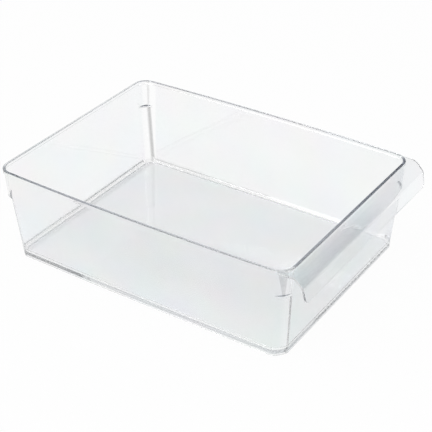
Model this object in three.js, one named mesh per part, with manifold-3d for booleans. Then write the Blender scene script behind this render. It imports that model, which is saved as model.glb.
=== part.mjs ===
// A clear fridge drawer bin, moulded in one piece: a tub with leaning walls, whose corners step in at
// shoulders, a bead round the rim, a pull lip across the front and a low foot ring.
// Millimetres, +Z up, pull lip towards -Y. The origin is on the surface that the bin stands on, in the
// middle of its footprint, pull lip included.

import * as THREE from "three";
import { mergeVertices } from "three/addons/utils/BufferGeometryUtils.js";
import Module from "manifold-3d";

const wasm = await Module();
wasm.setup();

// The bin over its rim, without the pull lip
const rimLength = 320;
const rimWidth = 230;
const height = 97;
const rimCornerRadius = 14.8;

// The long sides bow outwards: this far at the rim, and this far at the foot
const rimCrown = 3.5;
const footCrown = 1;

// Walls and floor
const wall = 2;
const floorThickness = 2.4;
const floorFillet = 4;

// How far each wall leans in between the rim and the surface that the bin stands on
const sideLean = 5.2;
const frontLean = 6.5;
const backLean = 7.9;

// Corner shoulders: each corner tightens from the rim down to its shoulder, and below it is rounder and
// so stands in
const shoulderDrop = 30;
const shoulderThickness = 2;
const radiusAboveShoulder = 10.4;
const radiusBelowShoulder = 16.7;
const footCornerRadius = 15.7;

// Rim bead
const rimHeight = 4;
const rimOverhang = 1;
const rimEdgeRadius = 1;

// Foot ring, which carries the bin and keeps its floor clear of the shelf
const footHeight = 1.5;
const footWidth = 3.2;
const footEdgeRadius = 0.9;

// Pull lip: a flat flange off the rim, a slope, a crease and a skirt, all of one thickness
const lipThickness = 2.2;
const lipFlat = 3;
const lipBendRadius = 8;
const lipSlopeDegrees = 46;
const lipSlopeLength = 6.6;
const lipCreaseRadius = 7.4;
const lipSkirtDegrees = 80;
const lipDrop = 25.5;
const lipEndInset = 3.2;
const lipCornerRadius = 5.5;

// How finely the curves are divided
const cornerPoints = 10;
const sideSegments = 12;
const edgeSegments = 4;
const bendSegments = 6;

// The lip leaves the rim at this point of each front corner's arc, counted from the front
const lipStartPoint = 8;

// Levels
const rimBase = height - rimHeight;
const shoulderLevel = height - shoulderDrop;
const ledgeLevel = shoulderLevel + shoulderThickness;
const floorLevel = footHeight + floorThickness;
const flangeLevel = height - rimEdgeRadius;

const leanShareAt = (z) => (rimBase - z) / rimBase;
const crownAt = (z) => THREE.MathUtils.lerp(rimCrown, footCrown, leanShareAt(z));

// How far the tub's outer face, or a face `extra` inside it, stands in from the rim's outline
function insetsAt(z, extra = 0) {
  const share = leanShareAt(z);
  return {
    side: rimOverhang + sideLean * share + extra,
    front: rimOverhang + frontLean * share + extra,
    back: rimOverhang + backLean * share + extra,
  };
}

// The tub's outer corner radius above the shoulders, and below them
function upperRadiusAt(z) {
  const share = (rimBase - z) / (rimBase - shoulderLevel);
  return THREE.MathUtils.lerp(rimCornerRadius - rimOverhang, radiusAboveShoulder, share);
}

function lowerRadiusAt(z) {
  const share = Math.max(shoulderLevel - z, 0) / shoulderLevel;
  return THREE.MathUtils.lerp(radiusBelowShoulder, footCornerRadius, share);
}

// The walls' outward directions, and the corners between them, anticlockwise from above
const front = new THREE.Vector2(0, -1);
const right = new THREE.Vector2(1, 0);
const back = new THREE.Vector2(0, 1);
const left = new THREE.Vector2(-1, 0);
const corners = [[front, right], [right, back], [back, left], [left, front]];

// A level ring of points round the bin. Each corner has its arc's points between two points on the
// walls, `reach` from the sharp corner, so that a tight and a wide arc can share those two.
function ring({ z, insets, radius, reach }) {
  const halfWidth = rimWidth / 2 - insets.side;
  const yFront = insets.front - rimLength / 2;
  const yBack = rimLength / 2 - insets.back;
  const middle = (yFront + yBack) / 2;
  const halfLength = (yBack - yFront) / 2;

  const cornerRuns = corners.map(([from, to]) => {
    const sharp = new THREE.Vector2((from.x + to.x) * halfWidth, from.y + to.y < 0 ? yFront : yBack);
    const before = (distance, other) =>
      sharp.clone().addScaledVector(to, -distance).addScaledVector(from, -other);
    const arc = Array.from({ length: cornerPoints }, (_, k) => {
      const share = reach > radius ? k / (cornerPoints - 1) : (k + 1) / (cornerPoints + 1);
      const angle = (share * Math.PI) / 2;
      return before(radius * (1 - Math.sin(angle)), radius * (1 - Math.cos(angle)));
    });
    return [before(reach, 0), ...arc, before(0, reach)];
  });

  const outline = cornerRuns.flatMap((run, corner) => {
    const next = cornerRuns[(corner + 1) % corners.length];
    const alongSide = corners[corner][1].y === 0;
    const steps = alongSide ? sideSegments : 1;
    const between = Array.from({ length: steps - 1 }, (_, k) =>
      run.at(-1).clone().lerp(next[0], (k + 1) / steps),
    );
    return [...run, ...between];
  });

  return outline.map(({ x, y }) => {
    const bow = crownAt(z) * (1 - ((y - middle) / halfLength) ** 2);
    return new THREE.Vector3(x + (x / halfWidth) * bow, y, z);
  });
}

// A ring shrunk to the point in its middle, which closes the end of a loft
function tipOf(points) {
  const tip = new THREE.Box3().setFromPoints(points).getCenter(new THREE.Vector3());
  return points.map(() => tip);
}

function indexedGeometry(points, index) {
  const geometry = new THREE.BufferGeometry().setFromPoints(points);
  geometry.setIndex(index);
  return mergeVertices(geometry);
}

// A solid's skin through rings that run up its outside, inwards and down its inside. A closed loft joins
// the last ring to the first. Where two rings share a point, the triangle between them has no area and
// is left out.
function loft(rings, closed = false) {
  const count = rings[0].length;
  const index = [];
  rings.slice(closed ? 0 : 1).forEach((_, step) => {
    const low = step * count;
    const high = ((step + 1) % rings.length) * count;
    for (let k = 0; k < count; k++) {
      const next = (k + 1) % count;
      index.push(low + k, low + next, high + next, low + k, high + next, high + k);
    }
  });
  const skin = indexedGeometry(rings.flat(), index);
  const kept = [];
  for (let k = 0; k < skin.index.count; k += 3) {
    const [a, b, c] = skin.index.array.subarray(k, k + 3);
    if (a !== b && b !== c && c !== a) kept.push(a, b, c);
  }
  skin.setIndex(kept);
  return skin;
}

// The points of a quarter round, from its level end to its upright end: how far each lies in from the
// upright face and up from the level one
function quarterRound(radius) {
  return Array.from({ length: edgeSegments + 1 }, (_, k) => {
    const angle = (k / edgeSegments) * (Math.PI / 2);
    return { inwards: radius * (1 - Math.sin(angle)), upwards: radius * (1 - Math.cos(angle)) };
  });
}

// The tub: outer face with its shoulders, inner face with their ledges, fillet and floor
function tubGeometry() {
  const face = (z, radius, reach, extra = 0) =>
    ring({ z, insets: insetsAt(z, extra), radius: radius - extra, reach: reach - extra });
  const upper = (z, extra) => face(z, upperRadiusAt(z), radiusBelowShoulder, extra);
  const lower = (z, extra) => face(z, lowerRadiusAt(z), lowerRadiusAt(z), extra);
  const underside = lower(footHeight);
  const fillet = quarterRound(floorFillet)
    .reverse()
    .map(({ inwards, upwards }) => lower(floorLevel + upwards, wall + inwards));
  return loft([
    tipOf(underside),
    underside,
    lower(shoulderLevel),
    upper(shoulderLevel),
    upper(rimBase),
    upper(rimBase, wall),
    upper(ledgeLevel, wall),
    lower(ledgeLevel, wall),
    ...fillet,
    tipOf(fillet.at(-1)),
  ]);
}

// A ring of the rim bead, this far in from its outline
const rimRing = (inset, z) => {
  const points = ring({
    z: rimBase,
    insets: { side: inset, front: inset, back: inset },
    radius: rimCornerRadius - inset,
    reach: radiusBelowShoulder + rimOverhang - inset,
  });
  return points.map((point) => point.setZ(z));
};

// The rim bead: flat where it sits on the walls, rounded above
function rimGeometry() {
  const width = rimOverhang + wall;
  const edge = quarterRound(rimEdgeRadius);
  return loft(
    [
      rimRing(0, rimBase),
      ...edge.toReversed().map(({ inwards, upwards }) => rimRing(inwards, height - upwards)),
      ...edge.map(({ inwards, upwards }) => rimRing(width - inwards, height - upwards)),
      rimRing(width, rimBase),
    ],
    true,
  );
}

// The foot ring: flush with the walls outside, rounded on both lower edges
function footGeometry() {
  const footRing = (z, extra) => {
    const radius = lowerRadiusAt(footHeight) - extra;
    const points = ring({ z: footHeight, insets: insetsAt(footHeight, extra), radius, reach: radius });
    return points.map((point) => point.setZ(z));
  };
  const edge = quarterRound(footEdgeRadius);
  return loft(
    [
      ...edge.map(({ inwards, upwards }) => footRing(upwards, inwards)),
      footRing(footHeight, 0),
      footRing(footHeight, footWidth),
      ...edge.toReversed().map(({ inwards, upwards }) => footRing(upwards, footWidth - inwards)),
    ],
    true,
  );
}

// The course of the lip's upper face from the rim's front: how far forward and down each point lies, its
// heading below the horizontal, and the way covered
function lipCourse() {
  const slope = THREE.MathUtils.degToRad(lipSlopeDegrees);
  const skirt = THREE.MathUtils.degToRad(lipSkirtDegrees);
  const course = [{ forward: 0, down: 0, heading: 0, way: 0 }];
  const straight = (length) => {
    const { forward, down, heading, way } = course.at(-1);
    course.push({
      forward: forward + length * Math.cos(heading),
      down: down + length * Math.sin(heading),
      heading,
      way: way + length,
    });
  };
  const bend = (radius, to) => {
    const start = course.at(-1);
    for (let k = 1; k <= bendSegments; k++) {
      const heading = THREE.MathUtils.lerp(start.heading, to, k / bendSegments);
      course.push({
        forward: start.forward + radius * (Math.sin(heading) - Math.sin(start.heading)),
        down: start.down + radius * (Math.cos(start.heading) - Math.cos(heading)),
        heading,
        way: start.way + radius * (heading - start.heading),
      });
    }
  };
  straight(lipFlat);
  bend(lipBendRadius, slope);
  straight(lipSlopeLength);
  bend(lipCreaseRadius, skirt);
  const edgeDepth = (lipThickness / 2) * (1 + Math.cos(skirt));
  const skirtEnd = height - flangeLevel + course.at(-1).down + edgeDepth;
  straight((lipDrop - skirtEnd) / Math.sin(skirt) - lipCornerRadius);
  const cornerStart = course.at(-1).way;
  for (let k = 1; k <= bendSegments; k++) {
    const way = lipCornerRadius * Math.sin(((k / bendSegments) * Math.PI) / 2);
    straight(cornerStart + way - course.at(-1).way);
  }
  return course;
}

// The lip's section, round from the rim over its upper face, its lower edge and its underside
function lipSection() {
  const course = lipCourse();
  const end = course.at(-1);
  const under = ({ forward, down, heading, way }, depth) => ({
    forward: forward - depth * Math.sin(heading),
    down: down + depth * Math.cos(heading),
    way,
  });
  const radius = lipThickness / 2;
  const centre = under(end, radius);
  const lowerEdge = Array.from({ length: bendSegments - 1 }, (_, k) => {
    const angle = end.heading - Math.PI / 2 + ((k + 1) / bendSegments) * Math.PI;
    return {
      forward: centre.forward + radius * Math.cos(angle),
      down: centre.down + radius * Math.sin(angle),
      way: end.way,
    };
  });
  return [...course, ...lowerEdge, ...course.toReversed().map((point) => under(point, lipThickness))];
}

const lipReach = Math.max(...lipSection().map(({ forward }) => forward));

const asSolid = (geometry) =>
  new wasm.Manifold(
    new wasm.Mesh({
      numProp: 3,
      vertProperties: geometry.attributes.position.array,
      triVerts: Uint32Array.from(geometry.index.array),
    }),
  );

function asGeometry(solid) {
  const { vertProperties, triVerts } = solid.getMesh();
  const geometry = new THREE.BufferGeometry();
  geometry.setAttribute("position", new THREE.BufferAttribute(vertProperties, 3));
  geometry.setIndex(new THREE.BufferAttribute(triVerts, 1));
  return geometry;
}

// The pull lip, which narrows towards its lower edge and is rounded at that edge's corners. Its flange
// fills the space that the rim's rounded front corners leave beside it.
function handleGeometry() {
  const seam = rimRing(0, flangeLevel).slice(1, lipStartPoint + 2);
  const start = seam.at(-1);
  const lead = start.y + rimLength / 2;
  const section = lipSection();
  const lowest = lipCourse().at(-1).way;
  const halfWidthAt = (way) => {
    const along = THREE.MathUtils.clamp(1 - (lowest - way) / lipCornerRadius, 0, 1);
    const rounding = lipCornerRadius * (1 - Math.sqrt(1 - along * along));
    const width = THREE.MathUtils.lerp(start.x, rimWidth / 2 - lipEndInset, (lead + way) / (lead + lowest));
    return width - rounding;
  };

  const endAt = (side) =>
    section.map(
      ({ forward, down, way }) =>
        new THREE.Vector3(side * halfWidthAt(way), -rimLength / 2 - forward, flangeLevel - down),
    );
  const count = section.length;
  const index = [];
  for (let k = 0; k < count; k++) {
    const next = (k + 1) % count;
    index.push(k, next, count + next, k, count + next, count + k);
  }
  const cap = (p, q, r) => index.push(p, r, q, count + p, count + q, count + r);
  for (let upper = 0, lower = count - 1; upper + 1 < lower; upper++, lower--) {
    cap(upper, upper + 1, lower);
    if (upper + 2 < lower) {
      cap(upper + 1, lower - 1, lower);
    }
  }
  const lip = indexedGeometry([...endAt(-1), ...endAt(1)], index);

  const flangeFront = new THREE.Vector2(halfWidthAt(lipFlat), -rimLength / 2 - lipFlat);
  const outline = [
    new THREE.Vector2(-flangeFront.x, flangeFront.y),
    flangeFront,
    ...seam.toReversed(),
    ...seam.map(({ x, y }) => new THREE.Vector2(-x, y)),
  ];
  const flange = new THREE.ExtrudeGeometry(new THREE.Shape(outline), {
    depth: lipThickness,
    bevelEnabled: false,
  });
  flange.translate(0, 0, flangeLevel - lipThickness);
  flange.deleteAttribute("normal");
  flange.deleteAttribute("uv");
  return asGeometry(asSolid(lip).add(asSolid(mergeVertices(flange))));
}

// One clear, faintly cool plastic throughout
const clearPlastic = () =>
  new THREE.MeshStandardMaterial({
    color: 0xe6ebef,
    roughness: 0.06,
    metalness: 0,
    transparent: true,
    opacity: 0.3,
  });

const bin = new THREE.Group();
bin.position.y = lipReach / 2;
const pieces = {
  tub: tubGeometry(),
  rim: rimGeometry(),
  pull_handle: handleGeometry(),
  foot_ring: footGeometry(),
};
for (const [name, geometry] of Object.entries(pieces)) {
  const mesh = new THREE.Mesh(geometry, clearPlastic());
  mesh.name = name;
  bin.add(mesh);
}

export default bin;
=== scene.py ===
import math

import bmesh
import bpy
from mathutils import Matrix, Vector


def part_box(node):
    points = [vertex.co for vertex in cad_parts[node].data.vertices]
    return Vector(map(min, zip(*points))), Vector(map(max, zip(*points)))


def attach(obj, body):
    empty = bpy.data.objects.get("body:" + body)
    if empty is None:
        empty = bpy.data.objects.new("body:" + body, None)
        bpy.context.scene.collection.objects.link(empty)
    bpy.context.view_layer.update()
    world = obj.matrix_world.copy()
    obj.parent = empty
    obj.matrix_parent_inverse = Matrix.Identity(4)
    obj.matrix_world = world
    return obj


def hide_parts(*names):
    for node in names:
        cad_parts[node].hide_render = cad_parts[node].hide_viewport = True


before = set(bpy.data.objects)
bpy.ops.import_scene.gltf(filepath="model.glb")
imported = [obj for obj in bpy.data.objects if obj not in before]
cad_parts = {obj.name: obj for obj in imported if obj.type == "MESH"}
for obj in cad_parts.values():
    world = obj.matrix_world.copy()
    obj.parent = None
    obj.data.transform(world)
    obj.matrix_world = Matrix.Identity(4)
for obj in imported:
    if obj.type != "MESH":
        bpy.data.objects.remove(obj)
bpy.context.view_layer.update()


# Bin: one injection moulding in clear plastic, with a low foot, leaning walls, a rim bead and a pull lip. It
# is one mesh, because faces between those would show through it: level outlines are bridged up the outside
# and down the inside, and the lip is extruded off the rim.

# Foot, walls and rim: the walls lean so that the bin leaves its mould, the long sides bow out, and the
# corners tighten down to a shoulder and stand in below it.
mm = 0.001
rim_low, rim_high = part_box("rim")
foot_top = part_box("foot_ring")[1].z
rim_base = rim_low.z
rim_crown, foot_crown = 3.5 * mm, 1 * mm
half_width = rim_high.x - rim_crown
half_length = (rim_high.y - rim_low.y) / 2
middle = rim_low.y + half_length
wall = 2 * mm
floor_top = foot_top + 2.4 * mm
floor_fillet = 6 * mm
side_lean, front_lean, back_lean = 5.2 * mm, 6.5 * mm, 7.9 * mm
rim_overhang = 1 * mm
rim_width = rim_overhang + wall
rim_radius = 14.8 * mm
rim_edge = 1 * mm
bead_edge = 0.35 * mm
shoulder = rim_high.z - 30 * mm
ledge = shoulder + 2 * mm
shoulder_edge = 0.5 * mm
# Just enough that no face along the straight walls is left without area
step_rise = 0.01 * mm
radius_above, radius_below, foot_radius = 10.4 * mm, 16.7 * mm, 15.7 * mm
reach_below = 12 * mm
reach_taken = 0.7
inner_tuck = 1.4 * mm
foot_width = 3.2 * mm
foot_edge = 0.9 * mm
lip_thickness = 2.2 * mm
lip_top = rim_high.z - rim_edge
corner_steps = 16
side_steps = 32
edge_steps = 5
same_place = 0.001 * mm
no_material = -1
lifted_clear = Vector((0, 0, 1))

bin_mesh = bmesh.new()


def mix(a, b, share):
    """The value this share of the way from a to b. Each of them is a number or a socket."""
    return a + (b - a) * share


def quarter(radius):
    """A quarter round, from its level end to its upright one: how far in, and how far up, each point is."""
    turns = [math.pi / 2 * k / edge_steps for k in range(edge_steps + 1)]
    return [(radius * (1 - math.sin(turn)), radius * (1 - math.cos(turn))) for turn in turns]


def outline(z, side, front, back, radius, reach):
    """A level loop of edges: a rectangle this far inside the rim's outline, with rounded corners.

    Each corner is cut as deep as an arc of this radius would, but starts only this reach from the corner.
    """
    length = half_length - (front + back) / 2
    corners = bmesh.ops.create_grid(bin_mesh, x_segments=1, y_segments=1, size=1)["verts"]
    bmesh.ops.scale(bin_mesh, vec=(half_width - side, length, 1), verts=corners)
    bmesh.ops.translate(bin_mesh, vec=(0, rim_low.y + front + length, z), verts=corners)
    depth_of_arc = (1 - math.sqrt(0.5)) * radius
    rounded = bmesh.ops.bevel(
        bin_mesh,
        geom=corners,
        offset=reach,
        segments=corner_steps,
        profile=(1 - depth_of_arc / reach) ** 2,
        affect="VERTICES",
        material=no_material,
    )
    face = rounded["verts"][0].link_faces[0]
    edges = list(face.edges)
    bmesh.ops.delete(bin_mesh, geom=[face], context="FACES_ONLY")
    return edges


def wall_outline(z, inside=0.0, tight=0.0, lowered=0.0):
    """The walls' outline at a height, this far inside their outer face. tight is 1 above the shoulders."""
    lean = (rim_base - z) / rim_base
    upper = mix(rim_radius - rim_overhang, radius_above, (rim_base - z) / (rim_base - shoulder))
    lower = mix(foot_radius, radius_below, min(z / shoulder, 1))
    tuck = inner_tuck * min(inside / wall, 1)
    return outline(
        z - lowered,
        rim_overhang + side_lean * lean + inside,
        rim_overhang + front_lean * lean + inside,
        rim_overhang + back_lean * lean + inside,
        mix(lower, upper, tight) - inside,
        mix(reach_below - reach_taken * inside - tuck, upper - inside, tight),
    )


def rim_outline(z, inside):
    """The rim's outline at a height, this far inside its outer face."""
    return outline(z, inside, inside, inside, rim_radius - inside, rim_radius - inside)


def shoulder_steps(z):
    """Heights and tightness up a shoulder: out of the wall below, along its step, into the wall above."""
    width = (radius_below - radius_above) * (math.sqrt(2) - 1)
    edge = quarter(shoulder_edge)
    out_of_wall = [(z - up, run / width) for run, up in reversed(edge)]
    return out_of_wall + [(z + step_rise + up, 1 - run / width) for run, up in edge]


outlines = [wall_outline(foot_top, foot_width)]
for run, up in reversed(quarter(foot_edge)):
    outlines.append(wall_outline(foot_top, foot_width - run, lowered=foot_top - up))
for run, up in quarter(foot_edge):
    outlines.append(wall_outline(foot_top, run, lowered=foot_top - up))
outlines.append(wall_outline(foot_top))
for z, tight in shoulder_steps(shoulder):
    outlines.append(wall_outline(z, tight=tight))
for run, up in reversed(quarter(bead_edge)):
    outlines.append(rim_outline(rim_base - up, rim_overhang - run))
for run, up in quarter(bead_edge):
    outlines.append(rim_outline(rim_base + up, run))
outlines.append(rim_outline(lip_top - lip_thickness, 0))
for run, up in reversed(quarter(rim_edge)):
    outlines.append(rim_outline(rim_high.z - up, run))
for run, up in quarter(rim_edge):
    outlines.append(rim_outline(rim_high.z - up, rim_width - run))
outlines.append(wall_outline(rim_base, wall, tight=1))
for z, tight in reversed(shoulder_steps(ledge)):
    outlines.append(wall_outline(z, wall, tight=tight))
for run, up in reversed(quarter(floor_fillet)):
    outlines.append(wall_outline(floor_top + up, wall + run))

for last, following in zip(outlines, outlines[1:]):
    # A bridge can't tell which way two loops of one height run, so the second is lifted clear meanwhile
    lifted = list(dict.fromkeys(v for e in following for v in e.verts))
    bmesh.ops.translate(bin_mesh, vec=lifted_clear, verts=lifted)
    bmesh.ops.bridge_loops(bin_mesh, edges=last + following)
    bmesh.ops.translate(bin_mesh, vec=-lifted_clear, verts=lifted)
for rim_of_floor in (outlines[0], outlines[-1]):
    bmesh.ops.contextual_create(bin_mesh, geom=rim_of_floor)
bmesh.ops.remove_doubles(bin_mesh, verts=bin_mesh.verts, dist=same_place)

long_edges = [e for e in bin_mesh.edges if abs(e.verts[0].co.y - e.verts[1].co.y) > half_length]
bmesh.ops.subdivide_edges(bin_mesh, edges=long_edges, cuts=side_steps - 1, use_grid_fill=True)
for v in bin_mesh.verts:
    crown = mix(foot_crown, rim_crown, min(v.co.z / rim_base, 1))
    v.co.x *= 1 + crown / half_width * (1 - ((v.co.y - middle) / half_length) ** 2)
bmesh.ops.recalc_face_normals(bin_mesh, faces=bin_mesh.faces)

# Pull lip: a flange off the front of the rim, which fills its rounded corners, then a slope, a crease and a
# skirt with a full round edge. Its ends are cut flat and rounded at the bottom.
tiny = 0.01 * mm
round_fullness = 0.5
lip_flat = 3 * mm
lip_bend = 8 * mm
lip_slope_turn = math.radians(46)
lip_slope = 6.56 * mm
lip_crease = 7.4 * mm
lip_skirt_turn = math.radians(80)
lip_drop = 25.5 * mm
lip_start = 10.4 * mm
lip_end = half_width - 3.2 * mm
lip_corner = 5.5 * mm
lip_corner_rows = 5
lip_edge_row = 1.2 * mm
lip_edge_steps = 6
# Just under half the thickness, so that the edge's two rounds don't meet
lip_edge_round = lip_thickness / 2 - 4 * tiny
end_edge = 0.3 * mm
end_edge_steps = 2
bend_steps = 10
facing_front = -0.1
sharp = math.radians(60)

# The middle of the lip's upper face, out from the rim: each place, its turn down and the way there
course = [(Vector((0, rim_low.y - lip_flat, lip_top)), 0.0, lip_flat)]


def go_straight(length):
    place, turn, way = course[-1]
    ahead = Vector((0, -math.cos(turn), -math.sin(turn)))
    course.append((place + ahead * length, turn, way + length))


def go_round(radius, to):
    turned = (to - course[-1][1]) / bend_steps
    for _ in range(bend_steps):
        place, turn, way = course[-1]
        centre = place + Vector((0, math.sin(turn), -math.cos(turn))) * radius
        place = centre + Matrix.Rotation(turned, 3, "X") @ (place - centre)
        course.append((place, turn + turned, way + radius * turned))


go_round(lip_bend, lip_slope_turn)
go_straight(lip_slope)
go_round(lip_crease, lip_skirt_turn)
edge_depth = lip_thickness / 2 * (1 + math.cos(lip_skirt_turn))
skirt_drop = course[-1][0].z - edge_depth - rim_high.z + lip_drop
go_straight(skirt_drop / math.sin(lip_skirt_turn) + lip_thickness / 2 - lip_corner)
corner_top = course[-1][0]
for _ in range(lip_corner_rows):
    go_straight((lip_corner - lip_edge_row) / lip_corner_rows)
go_straight(lip_edge_row)

lip_face = [
    f
    for f in bin_mesh.faces
    if f.normal.y < facing_front
    and f.calc_center_median().y < rim_low.y + lip_start
    and all(lip_top - lip_thickness - tiny < v.co.z < lip_top + tiny for v in f.verts)
]
start_width = max(abs(v.co.x) for f in lip_face for v in f.verts)
lead = max(v.co.y for f in lip_face for v in f.verts) - rim_low.y
for k, (place, turn, way) in enumerate(course):
    grown = bmesh.ops.extrude_face_region(bin_mesh, geom=lip_face)["geom"]
    bmesh.ops.delete(bin_mesh, geom=[f for f in lip_face if f.is_valid], context="FACES")
    row = [v for v in grown if isinstance(v, bmesh.types.BMVert)]
    lip_face = [f for f in grown if isinstance(f, bmesh.types.BMFace)]
    laid = Matrix.Translation(place) @ Matrix.Rotation(turn, 4, "X")
    width = mix(start_width, lip_end, (lead + way) / (lead + course[-1][2]))
    if k == 0:
        for v in row:
            v.co.y = place.y
    else:
        bmesh.ops.transform(bin_mesh, matrix=laid @ last_laid.inverted(), verts=row)
    bmesh.ops.scale(bin_mesh, vec=(width / (last_width if k else start_width), 1, 1), verts=row)
    last_laid, last_width = laid, width

end_faces = set(lip_face)
lip_edge = [
    e
    for e in bin_mesh.edges
    if len(end_faces.intersection(e.link_faces)) == 1 and abs(e.verts[0].co.x - e.verts[1].co.x) > tiny
]
bmesh.ops.bevel(
    bin_mesh,
    geom=lip_edge,
    offset=lip_edge_round,
    segments=lip_edge_steps,
    profile=round_fullness,
    affect="EDGES",
    material=no_material,
    clamp_overlap=True,
)
skirt_ahead = Vector((0, -math.cos(lip_skirt_turn), -math.sin(lip_skirt_turn)))
for v in bin_mesh.verts:
    along = (v.co - corner_top).dot(skirt_ahead) / lip_corner
    if v.co.y < rim_low.y - lip_flat and along > 0:
        v.co.x *= 1 - lip_corner * (1 - math.sqrt(max(1 - along**2, 0))) / lip_end
end_edges = [
    e
    for e in bin_mesh.edges
    if max(v.co.y for v in e.verts) < rim_low.y and e.calc_face_angle(0) > sharp
]
bmesh.ops.bevel(
    bin_mesh,
    geom=end_edges,
    offset=end_edge,
    segments=end_edge_steps,
    profile=round_fullness,
    affect="EDGES",
    material=no_material,
)
bmesh.ops.remove_doubles(bin_mesh, verts=bin_mesh.verts, dist=same_place)
bmesh.ops.recalc_face_normals(bin_mesh, faces=bin_mesh.faces)

smooth_under = math.radians(40)
large_faces_first = 100

clear_bin = bpy.data.objects.new("clear_bin", bpy.data.meshes.new("clear_bin"))
bpy.context.scene.collection.objects.link(clear_bin)
bin_mesh.to_mesh(clear_bin.data)
bin_mesh.free()
clear_bin.data.shade_smooth()
clear_bin.data.set_sharp_from_angle(angle=smooth_under)
flat_walls = clear_bin.modifiers.new("flat_walls", "WEIGHTED_NORMAL")
flat_walls.mode = "FACE_AREA"
flat_walls.weight = large_faces_first
flat_walls.keep_sharp = True

# Plastic: polished and water-clear, with a faint cool tint that deepens with its thickness. It is a little
# greyer with painted shade on the lip, the front wall, the floor, the rim bead and the corners, and has a
# painted highlight in matt white on the lip's cut ends.


class Socket:
    """A value in a node tree. Arithmetic with it adds Math nodes."""

    def __init__(self, shader, output):
        self.shader = shader
        self.output = output

    def maths(self, operation, *values):
        settings = {"operation": operation}
        return self.shader.node("Math", settings, dict(enumerate(values)))["Value"]

    def __add__(self, other):
        return self.maths("ADD", self, other)

    __radd__ = __add__

    def __sub__(self, other):
        return self.maths("SUBTRACT", self, other)

    def __rsub__(self, other):
        return self.maths("SUBTRACT", other, self)

    def __mul__(self, other):
        return self.maths("MULTIPLY", self, other)

    __rmul__ = __mul__

    def __neg__(self):
        return self * -1

    def __pow__(self, other):
        return self.maths("POWER", self, other)

    def __abs__(self):
        return self.maths("ABSOLUTE", self)

    def either(self, other):
        return self.maths("MAXIMUM", self, other)

    def rise(self, span):
        """0 below the span, 1 above it, and smooth between."""
        low, high = span
        values = {"Value": self, "From Min": low, "From Max": high}
        return self.shader.node("MapRange", {"interpolation_type": "SMOOTHSTEP"}, values)["Result"]


class Shader:
    """The node tree of a material or a world."""

    def __init__(self, owner):
        owner.use_nodes = True
        self.tree = owner.node_tree
        self.tree.nodes.clear()

    def node(self, kind, settings, values):
        """Adds a node with these settings and socket values or links, and returns its outputs by name."""
        node = self.tree.nodes.new("ShaderNode" + kind)
        for name, setting in settings.items():
            setattr(node, name, setting)
        for name, value in values.items():
            if isinstance(value, Socket):
                self.tree.links.new(value.output, node.inputs[name])
            else:
                node.inputs[name].default_value = value
        return {output.name: Socket(self, output) for output in node.outputs}


clear_plastic = bpy.data.materials.new("clear_plastic")
shader = Shader(clear_plastic)
coordinates = shader.node("TexCoord", {}, {})
place, normal = coordinates["Object"], coordinates["Normal"]
x, y, z = shader.node("SeparateXYZ", {}, {"Vector": place}).values()
normal_x, normal_y, normal_z = shader.node("SeparateXYZ", {}, {"Vector": normal}).values()

# The bin's near side, as photographed, is towards -x, its far side towards x, and its front towards -y
past_middle = (-1 * mm, 1 * mm)
near_half, front_half = (-x).rise(past_middle), (-y).rise(past_middle)
far_half, back_half = x.rise(past_middle), y.rise(past_middle)

# Pull lip: painted shade, greyest along its crease, pale on its skirt, clear on its flange, and paling to
# its far end
skirt_shade, crease_shade, slope_shade = 0.06, 0.25, 0.13
off_rim = (0.3 * mm - rim_low.y, 1.5 * mm - rim_low.y)
skirt_top = (84.5 * mm, 88 * mm)
slope_heights = (87 * mm, 95 * mm)
flange_heights = (95 * mm, 96 * mm)
lip_middle, lip_far_end = (-20 * mm, 50 * mm), (50 * mm, 95 * mm)
middle_paling, end_paling = 0.7, 0.3
on_lip = (-y).rise(off_rim)
slope = mix(crease_shade, slope_shade, z.rise(slope_heights)) * (1 - z.rise(flange_heights))
paling = middle_paling * x.rise(lip_middle) + end_paling * x.rise(lip_far_end)
lip_shade = on_lip * mix(skirt_shade, slope, z.rise(skirt_top)) * (1 - paling)

# Painted shade on the front wall, and on the floor, which is greyer away from the near side
front_wall_shade = 0.06
squarely = (0.9, 0.95)
front_wall_place = (130 * mm, 138 * mm)
below_rim = (89 * mm, 92 * mm)
front_wall = abs(normal_y).rise(squarely) * (-y).rise(front_wall_place)
front_wall = front_wall * (1 - z.rise(below_rim)) * (1 - on_lip)
floor_shades = (0.03, 0.1)
floor_shade_spread = (-110 * mm, -40 * mm)
floor_heights = (5 * mm, 8 * mm)
level = (0.9, 0.99)
near_floor = 1 - z.rise(floor_heights)
floor_shade = mix(*floor_shades, x.rise(floor_shade_spread)) * normal_z.rise(level) * near_floor

# Rim bead: painted shade for the dark lines of light trapped in the thick rim.
# Its near and front sides are the darkest, and each side's grey changes along it
bead_shade = 0
for outward, starts, along, span, greys in (
    (-x, (100 * mm, 110 * mm), y, (-160 * mm, 160 * mm), (0.45, 0.75)),
    (-y, (140 * mm, 147 * mm), x, (-50 * mm, 30 * mm), (0.8, 0.95)),
    (x, (100 * mm, 110 * mm), y, (-100 * mm, 100 * mm), (0.25, 0.42)),
    (y, (140 * mm, 160 * mm), x, (-100 * mm, 0), (0.12, 0.0)),
):
    side_shade = outward.rise(starts) * mix(*greys, along.rise(span))
    bead_shade = side_shade.either(bead_shade)
bead_heights = (lip_top, lip_top + 0.4 * mm)
bead_facing = (0.1, 0.6)
near_corner = (249 * mm, 254 * mm)
corner_relief = 0.8
bead_shade = bead_shade * z.rise(bead_heights) * normal_z.rise(bead_facing)
bead_shade = bead_shade * (1 - corner_relief * (-x - y).rise(near_corner))
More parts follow.
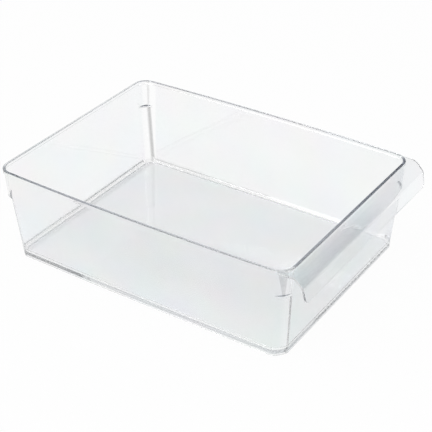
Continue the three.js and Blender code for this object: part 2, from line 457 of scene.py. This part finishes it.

# Near corners: above the ledge, a band of painted shade that narrows downwards
outer_corner_shade = 0.2
ledge_edge = (ledge, ledge + 1 * mm)
side_spread, front_spread = 0.4, 0.15
band_side, band_front = (0.08, 0.14), (-0.22, -0.16)
leaning = (0.3, 0.6)
above = z.rise(ledge_edge)
height_above = (z - ledge) * (1 / (rim_base - ledge))
turned = abs(normal_x) - abs(normal_y)
band = 1 - (turned - side_spread * height_above).rise(band_side)
band = band * (turned + front_spread * height_above).rise(band_front)
outer_corner = near_half * above * band * (1 - abs(normal_z).rise(leaning))

# Back corner on the far side: a narrow line of painted shade, fainter above the ledge
inner_corner_shade = 0.46
faint_above = 0.4
shift_below, shift_above = 0.06, -0.07
line_starts, line_ends = (0.77, 0.83), (0.85, 0.9)
far_corner = far_half * back_half
sideways = abs(normal_x) + mix(shift_below, shift_above, above)
line = sideways.rise(line_starts) * (1 - sideways.rise(line_ends))
inner_corner = far_corner * line * mix(1, faint_above, above)
corner_shade = (outer_corner_shade * outer_corner).either(inner_corner_shade * inner_corner)

# Painted shade on the ledges and shoulders of all corners
ledge_shade = 0.9
nearly_level = (0.5, 0.8)
up_shoulder = (shoulder - 1 * mm, shoulder)
on_ledge = abs(normal_z).rise(nearly_level) * z.rise(up_shoulder) * (1 - above)

# Painted highlights: the floor's fillet and a stripe down two corners, which have hardly any of the even
# grey or the patches
fillet_starts, fillet_ends = (0.1, 0.4), (0.85, 0.97)
corner_bend = (0.1, 0.2)
beside_corner_x, beside_corner_y = (100 * mm, 105 * mm), (149 * mm, 150 * mm)
far_stripe_facing, near_stripe_facing = (0.5, 0.65), (0.65, 0.8)
near_stripe_clearness = 0.8
fillet = normal_z.rise(fillet_starts) * (1 - normal_z.rise(fillet_ends)) * near_floor
in_corner = (2 * abs(normal_x * normal_y)).rise(corner_bend)
beside_corner = x.rise(beside_corner_x) * y.rise(beside_corner_y)
far_stripe = far_corner * abs(normal_x).rise(far_stripe_facing) * in_corner.either(beside_corner)
near_stripe = near_half * front_half * abs(normal_y).rise(near_stripe_facing) * in_corner
painted_highlights = far_stripe.either(near_stripe_clearness * near_stripe).either(fillet)
off_highlights = 1 - painted_highlights

# All the painted shade together, with a faint even grey and faint uneven patches of painted shade and
# reflection, tinted cool
even_grey = 0.02
patch_depths = (0.085, 0.06, 0.06)
shade_tint_powers = (1, 0.95, 0.85)
unshaded_share = (1 - even_grey * off_highlights) * (1 - floor_shade) * (1 - front_wall_shade * front_wall)
unshaded_share = unshaded_share * (1 - lip_shade) * (1 - bead_shade) * (1 - ledge_shade * on_ledge)
shade_patches = shader.node("TexNoise", {}, {"Vector": place, "Scale": 22, "Detail": 1, "Roughness": 0.4})["Color"]
channels = {}
patch_channels = shader.node("SeparateColor", {}, {"Color": shade_patches})
for (name, patch), depth, power in zip(patch_channels.items(), patch_depths, shade_tint_powers):
    channels[name] = unshaded_share**power * (1 - corner_shade) * (1 - depth * patch * off_highlights)
base = shader.node("CombineColor", {}, channels)["Color"]

# The foot is slightly matt underneath, and outside at the front and the back
foot_roughness = 0.25
foot_flat = (foot_top - 0.2 * mm, foot_top)
foot_side = (5 * mm, 6 * mm)
back_foot, front_foot = (145 * mm, 150 * mm), (136 * mm, 140 * mm)
end_foot = y.rise(back_foot).either((-y).rise(front_foot)) * (1 - z.rise(foot_side))
roughness = foot_roughness * (1 - z.rise(foot_flat)).either(end_foot)

waves = shader.node("TexNoise", {}, {"Vector": place, "Scale": 30, "Detail": 2, "Roughness": 0.5})["Fac"]
waviness = shader.node("Bump", {}, {"Strength": 0.1, "Distance": 0.1 * mm, "Height": waves})["Normal"]
refraction = 1.57
clear_finish = {
    "Base Color": base,
    "Roughness": roughness,
    "IOR": refraction,
    "Transmission Weight": 1,
    "Normal": waviness,
}
# Matt white, for the painted highlight on the lip's cut ends
end_highlight_finish = {"Base Color": (0.95, 0.96, 0.97, 1), "Roughness": 0.6, "IOR": refraction}
clear = shader.node("BsdfPrincipled", {}, clear_finish)["BSDF"]
end_highlight_white = shader.node("BsdfPrincipled", {}, end_highlight_finish)["BSDF"]

# The upper part of the lip's cut ends is mostly matt white: a painted highlight
end_highlight_share = 0.7
end_heights = (83 * mm, 86 * mm)
end_facing = (0.8, 0.95)
end_highlight_mask = end_highlight_share * on_lip * abs(normal_x).rise(end_facing) * z.rise(end_heights)
surface = shader.node("MixShader", {}, {0: end_highlight_mask, 1: clear, 2: end_highlight_white})["Shader"]
tint = shader.node("VolumeAbsorption", {}, {"Color": (0.0, 0.08, 0.2, 1), "Density": 0.6})["Volume"]
shader.node("OutputMaterial", {}, {"Surface": surface, "Volume": tint})
clear_bin.data.materials.append(clear_plastic)

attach(clear_bin, "root")
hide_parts("tub", "rim", "pull_handle", "foot_ring")


# Floor: a plain white table, lit by the lamps. What is seen of it directly, mirrored in the plastic or
# through the plastic is lifted to an even white, and the rest keeps the bin's shadow.

floor_reach = 6
seen_lift, plastic_lift = 0.97, 0.95

floor_mesh = bmesh.new()
bmesh.ops.create_grid(floor_mesh, x_segments=1, y_segments=1, size=floor_reach)
floor = bpy.data.objects.new("floor", bpy.data.meshes.new("floor"))
bpy.context.scene.collection.objects.link(floor)
floor_mesh.to_mesh(floor.data)
floor_mesh.free()

table_white = bpy.data.materials.new("table_white")
shader = Shader(table_white)
ray = shader.node("LightPath", {}, {})
in_plastic = ray["Is Glossy Ray"].either(ray["Is Transmission Ray"])
lift = (seen_lift * ray["Is Camera Ray"]).either(plastic_lift * in_plastic)
paper = shader.node("BsdfDiffuse", {}, {"Color": (0.8, 0.8, 0.8, 1)})["BSDF"]
glow = shader.node("Emission", {}, {"Color": (1, 1, 1, 1), "Strength": 1})["Emission"]
surface = shader.node("MixShader", {}, {0: lift, 1: paper, 2: glow})["Shader"]
shader.node("OutputMaterial", {}, {"Surface": surface})
floor.data.materials.append(table_white)


# Light: two soft boxes over the table in a dim, even room. The room is plain white to the camera, and is
# lifted where it is seen through the plastic, which keeps the bottom edges pale.

through_lift = 0.6

world = bpy.data.worlds.new("studio")
bpy.context.scene.world = world
shader = Shader(world)
room = shader.node("Background", {}, {"Color": (0.5, 0.5, 0.5, 1)})["Background"]
white = shader.node("Background", {}, {"Color": (1, 1, 1, 1)})["Background"]
ray = shader.node("LightPath", {}, {})
lift = ray["Is Camera Ray"].either(through_lift * ray["Is Transmission Ray"])
surface = shader.node("MixShader", {}, {0: lift, 1: room, 2: white})["Shader"]
shader.node("OutputWorld", {}, {"Surface": surface})

for name, location, size, power in (
    ("key_box", (-0.8, 0.3, 1.7), (1.4, 1.1), 15),
    ("fill_box", (-0.2, -1.6, 1.4), (0.8, 0.6), 4),
):
    lamp = bpy.data.lights.new(name, "AREA")
    lamp.shape = "RECTANGLE"
    lamp.size, lamp.size_y = size
    lamp.energy = power
    soft_box = bpy.data.objects.new(name, lamp)
    bpy.context.scene.collection.objects.link(soft_box)
    soft_box.location = location
    soft_box.rotation_euler = (-Vector(location)).to_track_quat("-Z", "Y").to_euler()

bpy.context.scene.view_settings.view_transform = "Standard"

# Light that enters an edge runs along inside the plastic, and needs many bounces to get out
bounces = 96
cycles = bpy.context.scene.cycles
cycles.max_bounces = bounces
cycles.glossy_bounces = bounces
cycles.transmission_bounces = bounces


# Camera: the photograph's view, on a long lens. It stands off from the point that it aims at, turned round
# the bin, raised over the table and rolled by a fraction of a degree.

camera_lens = 98.67
camera_sensor = 36
camera_aim = Vector((19.64, 9.67, 26.19)) * mm
camera_distance = 1175.7 * mm
camera_turn, camera_height, camera_roll = math.radians(-55.838), math.radians(32.659), math.radians(-0.75)

camera = bpy.data.objects.new("camera", bpy.data.cameras.new("camera"))
bpy.context.scene.collection.objects.link(camera)
bpy.context.scene.camera = camera
camera.data.sensor_width = camera_sensor
camera.data.lens = camera_lens
camera.matrix_world = (
    Matrix.Translation(camera_aim)
    @ Matrix.Rotation(camera_turn, 4, "Z")
    @ Matrix.Rotation(math.pi / 2 - camera_height, 4, "X")
    @ Matrix.Rotation(camera_roll, 4, "Z")
    @ Matrix.Translation((0, 0, camera_distance))
)
